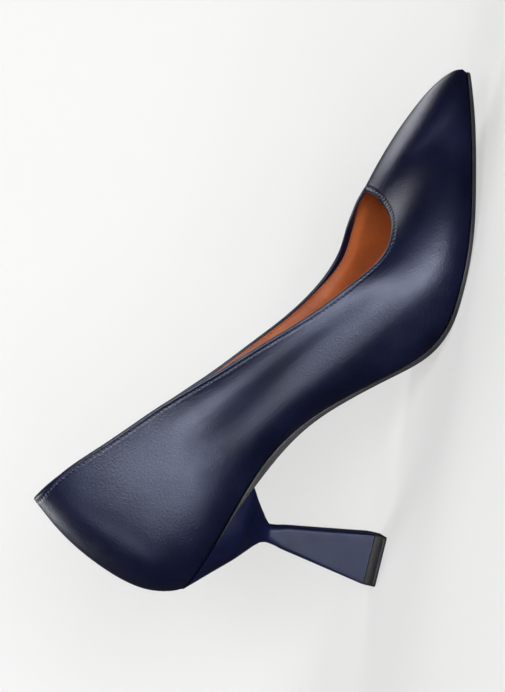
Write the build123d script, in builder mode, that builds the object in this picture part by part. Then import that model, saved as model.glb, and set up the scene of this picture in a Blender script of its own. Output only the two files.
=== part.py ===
from build123d import *
import os
from dataclasses import dataclass

# High heel pump, left shoe, millimetres.
# +X points to the toe, +Y to the wearer's left (the outer side of the foot), +Z up.
# The origin is the centre of the ground face of the top piece under the heel.

# Driving dimensions
HEEL_TIP_LENGTH = 21.1
HEEL_TIP_WIDTH = 16.0
TOP_PIECE_THICKNESS = 5.3
LEATHER = 1.2
STIFFENER = 0.8
LINING = 0.8
GLUE = 0.04
WALL = LEATHER + STIFFENER + LINING
HEM_DEPTH = 0.16
TAPE_THICKNESS = 0.25
INSOLE = 2.0
CUSHION = 1.5
SOCK = 0.8
SHANK_BOARD = 0.9
SHANK_THICKNESS = 0.95
SHANK_WIDTH = 11.0
SEAM_GAP = 0.2
SEAM_Y = -1.5
STITCH_RADIUS = 0.28
STITCH_PITCH = 1.9
STITCH_LENGTH = 1.4
STITCH_DROP = 2.0
SCREW_RADIUS = 2.0
NAIL_RADIUS = 0.9
ROD_RADIUS = 2.1
PIN_RADIUS = 1.5
REACH = 120.0

# Derived and placing dimensions
TIP_HALF_LENGTH = HEEL_TIP_LENGTH / 2
TIP_HALF_WIDTH = HEEL_TIP_WIDTH / 2
LEAST_CORNER = 0.2
MARGIN = LEATHER + LINING
BOARD_TOP = MARGIN + INSOLE
BOARD_LOW = MARGIN - SHANK_BOARD
SHANK_LOW = 0.1
LEATHER_MARGIN_INSET = 0.45
LINING_MARGIN_INSET = 1.7
STIFFENER_LOW = 0.07
SHEET_GROWTH = 1.2
ROD_X = 0.65
ROD_SPAN = (7.0, 56.0)
PIN_SPAN = (1.5, 18.0)
HEEL_COVER = 0.9
CORNER_RADIUS = 0.8
HEEL_TOP_GAP = 0.08
ROW_SAMPLES = 900
ROW_STEP = 0.03
TAPE_GAP = 0.02
HEM_CLEARANCE = 0.005
HEM_LOW = 1 - HEM_DEPTH
HEM_HIGH = 1 - TAPE_GAP
STIFFENER_INSIDE = LEATHER + STIFFENER
TAPE_INSIDE = LEATHER + TAPE_THICKNESS
SEAM_PLACE = (-25.0, SEAM_Y, 110.0)
SEAM_REACH = 50.0
SEAM_HEIGHT = 100.0
SEAM_TAPE = 0.3
SEAM_TAPE_WIDTH = 10.0
SEAM_TAPE_SHARES = (0.05, 0.8)
WINDOW_CENTRE = 88.0
WINDOW_LENGTH_SHARE = 0.86
WINDOW_WIDTH_SHARE = 0.62
COUNTER_END = 36.0
PUFF_START = 160.0
LINING_JOIN = 96.0
BOARD_SPAN = (-11.0, 95.0)
SHANK_SPAN = (-9.0, 90.0)
SCREW_PLACE = (-3.0, 0.0)
SCREW_DEPTH = 13.0
FASTENER_TOP = BOARD_TOP - 0.1
HOLE_TOP = BOARD_TOP + 1
NAIL_PLACES = [(-4.0, -7.0), (-4.0, 7.0), (8.0, -10.5), (8.0, 10.5), (12.0, 0.0)]
NAIL_DEPTH = 7.0
RIVET_PLACES = [(24.0, 0.0), (80.0, 0.0)]
RIVET_RADIUS = 1.6
SOLE_OVERHANG = 0.3
SOLE_START_LAP = 4.0
COARSE_COUNT = 16
FINE_COUNT = 60
HALVINGS = 40
BREAST_POINTS = 6
HEEL_TRIM_LAP = 20.0


@dataclass
class Station:
    """One section of the upper: where it leaves the sole and where it ends at the topline.

    lower and upper are the handles of the wall's curve, as shares of its chord:
    how far along the chord, and how far out from it. lift tips the wall's outward direction up.
    """

    feather: tuple
    topline: tuple
    lower: tuple
    upper: tuple
    lift: float = 0.0


BACK = Station((-29.5, -1.5), (-7.4, -1.5, 144.7), (0.14, 0.168), (0.53, 0.196))
TIP = Station((204.3, -3.5), (146.5, -1.0, 42.4), (-0.055, 0.148), (0.57, 0.125))
INNER_SIDE = [
    Station((-24.5, -13.0), (-3.0, -10.5, 142.6), (0.14, 0.16), (0.55, 0.17)),
    Station((-11.0, -20.3), (7.0, -17.5, 136.8), (0.15, 0.15), (0.60, 0.11)),
    Station((8.0, -21.9), (23.0, -23.2, 123.0), (0.18, 0.15), (0.62, 0.06)),
    Station((28.0, -18.6), (41.0, -26.4, 106.9), (0.20, 0.20), (0.65, 0.03)),
    Station((50.0, -15.6), (58.0, -28.2, 89.5), (0.20, 0.28), (0.62, 0.02)),
    Station((72.0, -19.5), (76.0, -29.5, 72.0), (0.18, 0.27), (0.62, 0.04)),
    Station((92.0, -29.3), (94.0, -31.0, 54.8), (0.18, 0.20), (0.62, 0.08)),
    Station((110.0, -36.8), (109.0, -32.3, 43.0), (0.20, 0.18), (0.65, 0.12)),
    Station((127.0, -38.2), (121.0, -31.6, 34.9), (0.20, 0.20), (0.65, 0.16)),
    Station((146.0, -33.4), (130.5, -28.0, 32.9), (0.18, 0.22), (0.65, 0.20)),
    Station((167.0, -22.8), (138.0, -20.8, 33.9), (0.12, 0.22), (0.62, 0.20), 0.2),
    Station((186.0, -12.8), (143.6, -11.5, 37.5), (0.05, 0.20), (0.58, 0.17), 0.5),
    Station((199.5, -6.8), (146.0, -5.5, 40.8), (0.00, 0.17), (0.57, 0.14), 1.2),
]
OUTER_SIDE = [
    Station((199.0, 0.8), (146.0, 3.5, 42.6), (0.00, 0.17), (0.57, 0.14), 1.2),
    Station((185.0, 8.0), (143.6, 9.0, 42.9), (0.05, 0.19), (0.58, 0.16), 0.6),
    Station((165.0, 18.0), (138.5, 18.0, 42.5), (0.12, 0.21), (0.62, 0.18), 0.3),
    Station((144.0, 28.0), (131.0, 26.5, 42.0), (0.18, 0.21), (0.65, 0.18), 0.1),
    Station((124.0, 35.6), (121.0, 32.0, 41.8), (0.20, 0.19), (0.65, 0.16)),
    Station((108.0, 37.3), (109.0, 34.0, 45.4), (0.20, 0.17), (0.65, 0.13)),
    Station((92.0, 34.3), (94.0, 33.5, 54.0), (0.18, 0.18), (0.62, 0.10)),
    Station((72.0, 27.8), (76.0, 31.5, 68.2), (0.18, 0.20), (0.62, 0.06)),
    Station((50.0, 23.4), (58.0, 29.5, 83.4), (0.20, 0.22), (0.62, 0.03)),
    Station((28.0, 22.9), (41.0, 27.0, 99.5), (0.20, 0.19), (0.65, 0.03)),
    Station((8.0, 23.4), (23.0, 23.0, 116.3), (0.18, 0.15), (0.62, 0.06)),
    Station((-11.0, 20.6), (7.0, 16.3, 132.2), (0.15, 0.15), (0.60, 0.11)),
    Station((-24.5, 11.5), (-3.0, 8.5, 141.2), (0.14, 0.16), (0.55, 0.17)),
]
LOOP = [BACK, *INNER_SIDE, TIP, *OUTER_SIDE]

# Side-view lines: the feather edge, where the upper meets the sole, and the ground side of the sole.
FEATHER_LINE = [
    (-34, 78.3), (-12, 71.8), (8, 66.2), (28, 59.0), (48, 46.8), (62, 33.6), (76, 18.4),
    (86, 9.0), (97, 3.6), (112, 2.5), (132, 3.2), (160, 6.0), (186, 9.8), (208, 15.0),
]
SOLE_LINE = [
    (-6, 69.9), (6, 66.0), (18.6, 60.6), (36, 51.8), (48, 43.7), (62, 30.5), (76, 15.2),
    (88, 4.3), (99, 0.5), (112, 0.0), (135, 0.9), (160, 3.5), (186, 7.2), (208, 12.9),
]

# Heel sections: height, back, front, half width, radius of the back corners and of the front corners.
HEEL_SECTIONS = [
    (TOP_PIECE_THICKNESS, -TIP_HALF_LENGTH, TIP_HALF_LENGTH, TIP_HALF_WIDTH, CORNER_RADIUS, CORNER_RADIUS),
    (41.0, -4.40, 5.33, 4.90, 1.8, 1.8),
    (44.5, -3.60, 4.70, 4.35, 2.6, 2.6),
    (47.5, -3.3, 4.4, 4.1, 3.2, 3.0),
    (49.5, -3.7, 5.9, 5.0, 3.8, 3.0),
    (52.0, -5.4, 8.7, 7.4, 5.4, 2.8),
    (56.0, -9.4, 13.4, 12.6, 10.0, 2.6),
    (61.0, -14.3, 19.6, 19.5, 16.0, 2.2),
    (68.0, -21.1, 26.0, 20.8, 18.5, 2.2),
    (80.0, -32.6, 38.0, 21.6, 19.5, 2.2),
]

os.makedirs("parts", exist_ok=True)


def finish(builder, name):
    """Label a finished piece and write it under its node name."""
    builder.part.label = name
    export_step(builder.part, f"parts/{name}.step")


def line_through(points):
    """A smooth side-view line through (x, z) points, as an edge."""
    with BuildLine(Plane.XZ) as line:
        Spline(*points)
    return line.edges()[0]


def height_of(line, x):
    """The height of a side-view line at x, found by halving the interval."""
    low, high = 0.0, 1.0
    for _ in range(HALVINGS):
        middle = (low + high) / 2
        if line.position_at(middle).X < x:
            low = middle
        else:
            high = middle
    return line.position_at(low).Z


feather_edge = line_through(FEATHER_LINE)


def raised(height, count=COARSE_COUNT):
    """Points of the feather line moved up along its normals."""
    points = []
    for step in range(count + 1):
        share = step / count
        place = feather_edge.position_at(share)
        along = feather_edge.tangent_at(share)
        points.append((place.X - along.Z * height, place.Z + along.X * height))
    return points


def outward(index):
    """The horizontal direction away from the foot at a station of the loop."""
    before = Vector(*LOOP[index - 1].feather)
    after = Vector(*LOOP[(index + 1) % len(LOOP)].feather)
    travel = after - before
    return Vector(travel.Y, -travel.X).normalized()


def blossom(points, first, second, third):
    """The polar form of a cubic curve, used to cut a stretch out of it."""
    level = points
    for share in (first, second, third):
        level = [a + (b - a) * share for a, b in zip(level, level[1:])]
    return level[0]


def wall_handles(index):
    """Section plane of a station, and the four control points of the wall's outer curve in it."""
    station = LOOP[index]
    foot = Vector(*station.feather, height_of(feather_edge, station.feather[0]))
    chord = Vector(*station.topline) - foot
    along = chord.normalized()
    out = outward(index) + Vector(0, 0, station.lift)
    across = (out - along * out.dot(along)).normalized()
    length = chord.length
    handles = [
        Vector(0, 0),
        Vector(station.lower[0] * length, station.lower[1] * length),
        Vector(station.upper[0] * length, station.upper[1] * length),
        Vector(length, 0),
    ]
    return Plane(origin=foot, x_dir=along, z_dir=along.cross(across)), handles


def sunk(handles, depth):
    """The control points moved a depth into the wall."""
    moved = []
    for handle, (first, last) in zip(handles, [(0, 1), (0, 2), (1, 3), (2, 3)]):
        run = (handles[last] - handles[first]).normalized()
        moved.append(handle + Vector(run.Y, -run.X) * depth)
    return moved


def ply(corners):
    """A closed ring of sheet round the shoe, from its corners in the wall's section.

    Each corner is a depth under the outer face and a share of the wall's height.
    Corners of one depth are joined along the wall, and the others straight through it.
    """
    faces = []
    for index in range(len(LOOP)):
        plane, handles = wall_handles(index)
        with BuildSketch(plane) as section:
            with BuildLine():
                for (depth, start), (next_depth, end) in zip(corners, [*corners[1:], corners[0]]):
                    curve = sunk(handles, depth)
                    if depth == next_depth:
                        spans = [[start] * (3 - number) + [end] * number for number in range(4)]
                        Bezier(*[blossom(curve, *span) for span in spans])
                    else:
                        next_curve = sunk(handles, next_depth)
                        here = blossom(curve, start, start, start)
                        Line(here, blossom(next_curve, start, start, start))
            make_face()
        faces.append(section.sketch.faces()[0])
    with BuildPart() as ring:
        loft(sections=[*faces, faces[0]])
    return ring.part


def wall_layer(outer_depth, inner_depth, start=0.0, end=1.0):
    """A plain ring between two depths and two shares of the wall's height."""
    return ply([(outer_depth, start), (outer_depth, end), (inner_depth, end), (inner_depth, start)])


def loop_outline(grow=0.0):
    """Plan of the feather edge, grown outward."""
    points = [Vector(*station.feather) + outward(index) * grow for index, station in enumerate(LOOP)]
    with BuildSketch() as plan:
        with BuildLine():
            Spline(*points, periodic=True)
        make_face()
    return plan.sketch


def window_outline():
    """Plan of the opening inside the lasted margins."""
    middle = WINDOW_CENTRE
    points = []
    for station in LOOP:
        x, y = station.feather
        points.append((middle + (x - middle) * WINDOW_LENGTH_SHARE, y * WINDOW_WIDTH_SHARE))
    with BuildSketch() as plan:
        with BuildLine():
            Spline(*points, periodic=True)
        make_face()
    return plan.sketch


def add_prism(lower, upper):
    """Extrude the side-view strip between two runs of (x, z) points across the shoe."""
    with BuildSketch(Plane.XZ) as strip:
        with BuildLine():
            Spline(*lower)
            Line(lower[-1], upper[-1])
            Spline(*reversed(upper))
            Line(upper[0], lower[0])
        make_face()
    extrude(strip.sketch, amount=REACH, both=True)


def add_sheet(low, high, plan):
    """A sheet that follows the feather line between two heights, trimmed to a plan."""
    add_prism(raised(low), raised(high))
    extrude(plan, amount=REACH, mode=Mode.INTERSECT)


def keep_between(start, end, right=-REACH, left=REACH):
    """Trim the current piece to a range of X, and of Y."""
    with Locations(((start + end) / 2, (right + left) / 2, REACH)):
        Box(end - start, left - right, 4 * REACH, mode=Mode.INTERSECT)


def keep_largest(builder):
    """Drop the slivers that a cut left outside the wall."""
    add(builder.part.solids().sort_by(SortBy.VOLUME)[-1], mode=Mode.REPLACE)


def seat_plane(x, y):
    """A plane on the feather line at x, square to the line, with its normal up into the shoe."""
    slope = (height_of(feather_edge, x + 1) - height_of(feather_edge, x - 1)) / 2
    normal = Vector(-slope, 0, 1).normalized()
    return Plane(origin=(x, y, height_of(feather_edge, x)), x_dir=(normal.Z, 0, -normal.X), z_dir=normal)


def add_pin(plane, radius, low, high):
    """A round pin square to a plane, between two heights over it."""
    with BuildSketch(plane.offset(low)) as disc:
        Circle(radius)
    extrude(disc.sketch, amount=high - low)


# Holes of the screw, the nails and the rivets
with BuildPart() as fastener_holes:
    add_pin(seat_plane(*SCREW_PLACE), SCREW_RADIUS, -SCREW_DEPTH, HOLE_TOP)
    for place in NAIL_PLACES:
        add_pin(seat_plane(*place), NAIL_RADIUS, -NAIL_DEPTH, HOLE_TOP)
    for place in RIVET_PLACES:
        add_pin(seat_plane(*place), RIVET_RADIUS, SHANK_LOW, HOLE_TOP)

# Plies of the upper, from the outside in
leather_wall = wall_layer(0, LEATHER)
lining_wall = wall_layer(STIFFENER_INSIDE, WALL)
whole_wall = wall_layer(0, WALL)

with BuildPart() as topline_tape:
    add(wall_layer(LEATHER, TAPE_INSIDE, HEM_LOW, HEM_HIGH))
finish(topline_tape, "topline_tape")

with BuildPart() as upper_leather:
    add_sheet(0, LEATHER, loop_outline(-LEATHER_MARGIN_INSET))
    extrude(window_outline(), amount=REACH, mode=Mode.SUBTRACT)
    add(lining_wall, mode=Mode.SUBTRACT)
    add(ply([
        (0, 0),
        (0, 1),
        (STIFFENER_INSIDE, 1),
        (STIFFENER_INSIDE, HEM_LOW),
        (TAPE_INSIDE, HEM_LOW),
        (TAPE_INSIDE, HEM_HIGH),
        (LEATHER, HEM_HIGH),
        (LEATHER, 0),
    ]))
    with Locations(SEAM_PLACE):
        Box(SEAM_REACH, SEAM_GAP, SEAM_HEIGHT, mode=Mode.SUBTRACT)
finish(upper_leather, "upper_leather")

with BuildPart() as back_seam_tape:
    add(wall_layer(LEATHER + GLUE, LEATHER + SEAM_TAPE, *SEAM_TAPE_SHARES))
    with Locations(SEAM_PLACE):
        Box(SEAM_REACH, SEAM_TAPE_WIDTH, SEAM_HEIGHT, mode=Mode.INTERSECT)
finish(back_seam_tape, "back_seam_tape")

with BuildPart() as seam_tape_pocket:
    add(wall_layer(LEATHER - GLUE, LEATHER + SEAM_TAPE + GLUE, 0, SEAM_TAPE_SHARES[1] + TAPE_GAP))
    with Locations(SEAM_PLACE):
        Box(SEAM_REACH, SEAM_TAPE_WIDTH + GLUE, SEAM_HEIGHT, mode=Mode.INTERSECT)

with BuildPart() as stiffener:
    add(wall_layer(LEATHER + GLUE, STIFFENER_INSIDE - GLUE, STIFFENER_LOW, HEM_LOW - HEM_CLEARANCE))
    add(seam_tape_pocket.part, mode=Mode.SUBTRACT)

for name, start, end, right, left in (
    ("heel_counter", -REACH, COUNTER_END, -REACH, REACH),
    ("inner_side_interlining", COUNTER_END, PUFF_START, -REACH, SEAM_Y),
    ("outer_side_interlining", COUNTER_END, PUFF_START, SEAM_Y, REACH),
    ("toe_puff", PUFF_START, 2 * REACH, -REACH, REACH),
):
    with BuildPart() as piece:
        add(stiffener.part)
        keep_between(start, end, right, left)
        keep_largest(piece)
    finish(piece, name)

with BuildPart() as lining:
    add_sheet(LEATHER + GLUE, MARGIN - GLUE, loop_outline(-LINING_MARGIN_INSET))
    extrude(window_outline(), amount=REACH, mode=Mode.SUBTRACT)
    add(wall_layer(STIFFENER_INSIDE, WALL, 0, HEM_HIGH))

for name, start, end in (("quarter_lining", -REACH, LINING_JOIN), ("vamp_lining", LINING_JOIN, 2 * REACH)):
    with BuildPart() as piece:
        add(lining.part)
        keep_between(start, end)
        keep_largest(piece)
    finish(piece, name)

# Bottom unit, from the foot down
for name, low, high in (
    ("sock_lining", BOARD_TOP + CUSHION, BOARD_TOP + CUSHION + SOCK),
    ("foam_cushion", BOARD_TOP, BOARD_TOP + CUSHION),
    ("insole_board", MARGIN, BOARD_TOP),
):
    with BuildPart() as sheet:
        add_sheet(low, high, loop_outline(SHEET_GROWTH))
        add(whole_wall, mode=Mode.SUBTRACT)
        keep_largest(sheet)
        if name == "insole_board":
            add(fastener_holes.part, mode=Mode.SUBTRACT)
    finish(sheet, name)

with BuildPart() as shank_board:
    add_sheet(BOARD_LOW, MARGIN, window_outline())
    keep_between(*BOARD_SPAN)
    add(fastener_holes.part, mode=Mode.SUBTRACT)
finish(shank_board, "shank_board")

with BuildPart() as steel_shank:
    with BuildSketch() as shank_plan:
        with Locations((sum(SHANK_SPAN) / 2, 0)):
            SlotOverall(SHANK_SPAN[1] - SHANK_SPAN[0], SHANK_WIDTH)
    add_sheet(SHANK_LOW, SHANK_LOW + SHANK_THICKNESS, shank_plan.sketch)
    add(fastener_holes.part, mode=Mode.SUBTRACT)
finish(steel_shank, "steel_shank")

with BuildPart() as shank_rivets:
    for place in RIVET_PLACES:
        add_pin(seat_plane(*place), RIVET_RADIUS, SHANK_LOW, FASTENER_TOP)
finish(shank_rivets, "shank_rivets")

with BuildPart() as bottom_filler:
    add_sheet(0, MARGIN, window_outline())
    add(shank_board.part, mode=Mode.SUBTRACT)
    add(steel_shank.part, mode=Mode.SUBTRACT)
    add(fastener_holes.part, mode=Mode.SUBTRACT)
finish(bottom_filler, "bottom_filler")

with BuildPart() as outsole:
    sole_start = SOLE_LINE[0][0] - SOLE_START_LAP
    add_prism(SOLE_LINE, [point for point in raised(-GLUE, FINE_COUNT) if point[0] > sole_start])
    extrude(loop_outline(SOLE_OVERHANG), amount=REACH, mode=Mode.INTERSECT)
    add(fastener_holes.part, mode=Mode.SUBTRACT)
finish(outsole, "outsole")

# Heel
def heel_body(inset):
    """The heel from the top piece to above the seat, drawn in by an inset."""
    with BuildPart() as body:
        for height, back, front, half_width, back_radius, front_radius in HEEL_SECTIONS:
            start = back + inset
            end = front - inset
            side = half_width - inset
            rear = max(back_radius - inset, LEAST_CORNER)
            fore = max(front_radius - inset, LEAST_CORNER)
            with BuildSketch(Plane.XY.offset(height)):
                with BuildLine():
                    Line((end, fore - side), (end, side - fore))
                    CenterArc((end - fore, side - fore), fore, 0, 90)
                    Line((end - fore, side), (start + rear, side))
                    CenterArc((start + rear, side - rear), rear, 90, 90)
                    Line((start, side - rear), (start, rear - side))
                    CenterArc((start + rear, rear - side), rear, 180, 90)
                    Line((start + rear, -side), (end - fore, -side))
                    CenterArc((end - fore, fore - side), fore, 270, 90)
                make_face()
        loft(ruled=True)
    return body.part


with BuildPart() as heel_trim:
    seat_line = [point for point in raised(-HEEL_TOP_GAP, FINE_COUNT) if point[0] < SOLE_LINE[0][0]]
    breast = SOLE_LINE[BREAST_POINTS - 1]
    far_back = seat_line[0][0] - HEEL_TRIM_LAP
    with BuildSketch(Plane.XZ):
        with BuildLine():
            Spline(*seat_line)
            Line(seat_line[-1], SOLE_LINE[0])
            Spline(*SOLE_LINE[:BREAST_POINTS])
            Line(breast, (breast[0], REACH))
            Line((breast[0], REACH), (far_back, REACH))
            Line((far_back, REACH), (far_back, seat_line[0][1]))
            Line((far_back, seat_line[0][1]), seat_line[0])
        make_face()
    extrude(amount=REACH, both=True)

heel_core = heel_body(HEEL_COVER)

with BuildPart() as heel_block:
    add(heel_core)
    add(heel_trim.part, mode=Mode.SUBTRACT)
    add(fastener_holes.part, mode=Mode.SUBTRACT)
    with BuildSketch(Plane.XY.offset(ROD_SPAN[0])):
        with Locations((ROD_X, 0)):
            Circle(ROD_RADIUS)
    extrude(amount=ROD_SPAN[1] - ROD_SPAN[0], mode=Mode.SUBTRACT)
    with BuildSketch(Plane.XY.offset(TOP_PIECE_THICKNESS)):
        with Locations((ROD_X, 0)):
            Circle(PIN_RADIUS)
    extrude(amount=ROD_SPAN[0] - TOP_PIECE_THICKNESS, mode=Mode.SUBTRACT)
finish(heel_block, "heel_block")

with BuildPart() as heel_cover:
    add(heel_body(0))
    add(heel_core, mode=Mode.SUBTRACT)
    add(heel_trim.part, mode=Mode.SUBTRACT)
finish(heel_cover, "heel_cover")

with BuildPart() as heel_rod:
    with BuildSketch(Plane.XY.offset(ROD_SPAN[0])):
        with Locations((ROD_X, 0)):
            Circle(ROD_RADIUS)
            Circle(PIN_RADIUS, mode=Mode.SUBTRACT)
    extrude(amount=ROD_SPAN[1] - ROD_SPAN[0])
finish(heel_rod, "heel_rod")

with BuildPart() as top_piece_pin:
    with BuildSketch(Plane.XY.offset(PIN_SPAN[0])):
        with Locations((ROD_X, 0)):
            Circle(PIN_RADIUS)
    extrude(amount=PIN_SPAN[1] - PIN_SPAN[0])
finish(top_piece_pin, "top_piece_pin")

with BuildPart() as top_piece:
    with BuildSketch():
        RectangleRounded(HEEL_TIP_LENGTH, HEEL_TIP_WIDTH, CORNER_RADIUS)
    extrude(amount=TOP_PIECE_THICKNESS)
    with BuildSketch(Plane.XY.offset(PIN_SPAN[0])):
        with Locations((ROD_X, 0)):
            Circle(PIN_RADIUS)
    extrude(amount=TOP_PIECE_THICKNESS, mode=Mode.SUBTRACT)
finish(top_piece, "top_piece")

with BuildPart() as heel_screw:
    add_pin(seat_plane(*SCREW_PLACE), SCREW_RADIUS, -SCREW_DEPTH, FASTENER_TOP)
finish(heel_screw, "heel_screw")

with BuildPart() as heel_nails:
    for place in NAIL_PLACES:
        add_pin(seat_plane(*place), NAIL_RADIUS, -NAIL_DEPTH, FASTENER_TOP)
finish(heel_nails, "heel_nails")

# Topline stitching
def stitch_row(face, top_share):
    """Planes of equally spaced stitches just below the topline, on one face of the wall."""
    below = abs(top_share - ROW_STEP)
    path = []
    for step in range(ROW_SAMPLES + 1):
        turn = (step % ROW_SAMPLES) / ROW_SAMPLES
        top = face.position_at(top_share, turn)
        fall = face.position_at(below, turn) - top
        path.append(top + fall.normalized() * STITCH_DROP)
    planes = []
    travelled = 0.0
    for before, after in zip(path, path[1:]):
        travelled += (after - before).length
        if travelled >= STITCH_PITCH:
            travelled -= STITCH_PITCH
            along = (after - before).normalized()
            normal = face.normal_at(after)
            middle = after - along * travelled + normal * (STITCH_RADIUS + GLUE)
            planes.append(Plane(origin=middle, x_dir=normal, z_dir=along))
    return planes


with BuildPart() as topline_stitches:
    with Locations(*stitch_row(leather_wall.faces().sort_by(SortBy.AREA)[-1], 1)):
        Cylinder(STITCH_RADIUS, STITCH_LENGTH)
finish(topline_stitches, "topline_stitches")

with BuildPart() as lining_stitches:
    with Locations(*stitch_row(lining_wall.faces().sort_by(SortBy.AREA)[-2], 0)):
        Cylinder(STITCH_RADIUS, STITCH_LENGTH)
finish(lining_stitches, "lining_stitches")
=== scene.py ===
"""Blender scene of a left high heel pump in navy calf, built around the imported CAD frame."""
import math

import bpy
import numpy as np
from mathutils import Matrix, Vector


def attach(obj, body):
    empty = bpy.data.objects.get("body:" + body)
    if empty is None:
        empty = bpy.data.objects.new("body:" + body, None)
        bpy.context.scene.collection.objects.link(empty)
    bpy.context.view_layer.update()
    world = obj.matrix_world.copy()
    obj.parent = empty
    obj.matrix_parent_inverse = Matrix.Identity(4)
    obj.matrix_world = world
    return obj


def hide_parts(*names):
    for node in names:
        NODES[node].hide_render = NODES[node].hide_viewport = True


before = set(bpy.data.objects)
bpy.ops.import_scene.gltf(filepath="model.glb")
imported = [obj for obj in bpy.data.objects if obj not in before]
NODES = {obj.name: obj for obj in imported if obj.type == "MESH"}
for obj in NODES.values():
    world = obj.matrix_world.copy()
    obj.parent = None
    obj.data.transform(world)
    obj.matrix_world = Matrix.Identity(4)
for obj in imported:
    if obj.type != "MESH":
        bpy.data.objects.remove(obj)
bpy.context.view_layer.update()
MM = 0.001
BODY = "root"

# ---------------------------------------------------------------- sizes, in millimetres
# A drop is a distance along the wall under the topline. A depth is measured in from the wall's
# outer face. A span is where something fades in or out.

# The wall's layers
WALL = 2.8
TOPLINE_THICKNESS = 1.4
LEATHER = 0.8
TOP_ROLL = 0.62
FOLD_WIDTH = 0.85
FOLD_GAIN = 1.7
FOLD_X_SPAN = (100, 122)
FOLD_Y_SPAN = (14, 26)
TAPE_FACES = (0.84, 0.94)
TAPE_DROPS = (0.9, 7.5)
TAPE_STEPS = 8
TAPE_STRIDE = 4
LINING = 0.75
LINING_TOP = 1.18
LINING_BACK = 0.98
LINING_SPAN = (1.8, 8)
LINING_ROWS = 40
LINING_JOIN = 96
LINING_LAP = 0.5

# Rows and columns of the leather's mesh
COLUMNS = 1560
BODY_ROWS = 28
INSIDE_ROWS = 6
ROLL_ROWS = 9
FINE_DROP = 4.4
FINE_STEP = 0.25
LINE_SAMPLES = 800

# Stitches, and the dents that they pull into the leather
STITCH_PITCH = 1.9
STITCH_LENGTH = 1.5
STITCH_RADIUS = 0.24
INNER_STITCH_RADIUS = 0.17
STITCH_DROP = 2.1
STITCH_DEPTH = 0.12
LEAST_INNER_DROP = 2.2
GROOVE_DEPTH = 0.10
GROOVE_HALF = 0.5
HOLE_DEPTH = 0.12
HOLE_HALF = 0.16
HALO_DEPTH = 0.03
HALO_HALF = 1.3
# Puffed bands above and below the stitches: height, drop, half width
PUFFS = [(0.05, 1.1, 0.45), (0.03, 3.3, 0.6)]

# Back seam
SEAM_Y = -1.5
SEAM_HALF = 0.34
SEAM_DEPTH = 0.24
SEAM_END_X = 0.0
SEAM_TOP_SPAN = (0.3, 1.2)

# Slow swells of the leather
WAVE_SLANT = (0.5, 0.86)
WAVE_LENGTH = 23.0
WAVE_PHASE = 0.6
WAIST_SWELL = 0.48
WAIST_START = (20, 48)
WAIST_END = (92, 124)
COUNTER_SWELL = 0.16
COUNTER_SLANT = 0.4
COUNTER_WAVE = 34
COUNTER_PHASE = 1.0
COUNTER_END = (4, 26)
SWELL_DROPS = (5, 15)
SWELL_SHARES = (0.80, 0.97)

# Sole and heel
SOLE_OVERHANG = 0.3
SOLE_TUCK = 0.8
TUCK_SPAN = (30, 75)
TUCK_SHARES = (0.7, 1.0)
SOLE_GAP = 0.03
LEAST_SOLE = 0.1
SOLE_START = -7.0
SOLE_STATIONS = 300
HEEL_TOP = 80
HEEL_SAMPLES = 420
HEEL_ROWS = 150
HEEL_SEAT_GAP = 0.08
HEEL_BREAST_GAP = 0.02
HEEL_FOOT_ROUND = 0.12
HEEL_TIP = (21.1, 16.0, 5.3)
TIP_CORNER = 0.8
LEAST_TIP_CORNER = 0.3

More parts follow.
